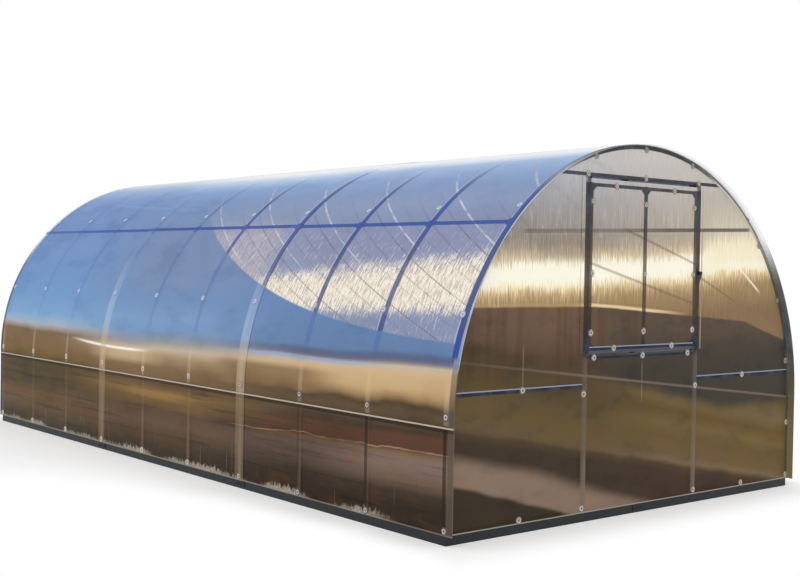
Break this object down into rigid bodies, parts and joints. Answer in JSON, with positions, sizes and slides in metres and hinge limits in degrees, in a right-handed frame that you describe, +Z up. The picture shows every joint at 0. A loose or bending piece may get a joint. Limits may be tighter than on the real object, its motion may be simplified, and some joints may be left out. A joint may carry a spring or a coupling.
{
  "type": "arched polycarbonate greenhouse",
  "caption": "Tunnel greenhouse: bent tube arches on a channel base, twin-wall sheet cover, vent in the front gable, door in the rear one.",
  "frame": {"origin": "on the ground in the middle of the footprint", "axes": "+Z up, +Y along the length from the vent gable to the door gable, +X to the right seen from the vent gable"},
  "size_m": [3.0172, 5.88, 2.1284],
  "materials": {
    "base_paint": "dark painted steel, scuffed",
    "tube_steel": "blue-grey painted steel tube",
    "bracket_zinc": "galvanised, dull",
    "gable_sheet": "bronze twin-wall polycarbonate, glossy, fine upright ribs",
    "cover_sheet": "bronze twin-wall polycarbonate, glossy, fine ribs along the bend",
    "black_plastic": "moulded black plastic"
  },
  "bodies": {
    "root": {"base_rail_front": "base_paint", "base_rail_rear": "base_paint", "base_rail_left": "base_paint", "base_rail_right": "base_paint", "base_splices": "base_paint", "foot_brackets": "bracket_zinc", "front_arch": "tube_steel", "arch_2": "tube_steel", "arch_3": "tube_steel", "arch_4": "tube_steel", "arch_5": "tube_steel", "arch_6": "tube_steel", "arch_7": "tube_steel", "arch_8": "tube_steel", "arch_9": "tube_steel", "rear_arch": "tube_steel", "purlin_left_lower": "tube_steel", "purlin_left_upper": "tube_steel", "purlin_right_lower": "tube_steel", "purlin_right_upper": "tube_steel", "purlin_plates": "bracket_zinc", "front_bottom_rail": "tube_steel", "front_post_left": "tube_steel", "front_post_right": "tube_steel", "front_crossbar": "tube_steel", "front_sill": "tube_steel", "front_girts": "tube_steel", "front_glazing": "gable_sheet", "vent_frame": "tube_steel", "vent_sheet": "gable_sheet", "vent_latch": "black_plastic", "rear_bottom_rail": "tube_steel", "rear_post_left": "tube_steel", "rear_post_right": "tube_steel", "rear_crossbar": "tube_steel", "rear_girts": "tube_steel", "rear_glazing": "gable_sheet", "door_frame": "tube_steel", "door_sheet": "gable_sheet", "door_handle": "black_plastic", "gusset_plates": "bracket_zinc", "hinges": "bracket_zinc", "cover_front": "cover_sheet", "cover_middle": "cover_sheet", "cover_rear": "cover_sheet"}
  },
  "joints": []
}
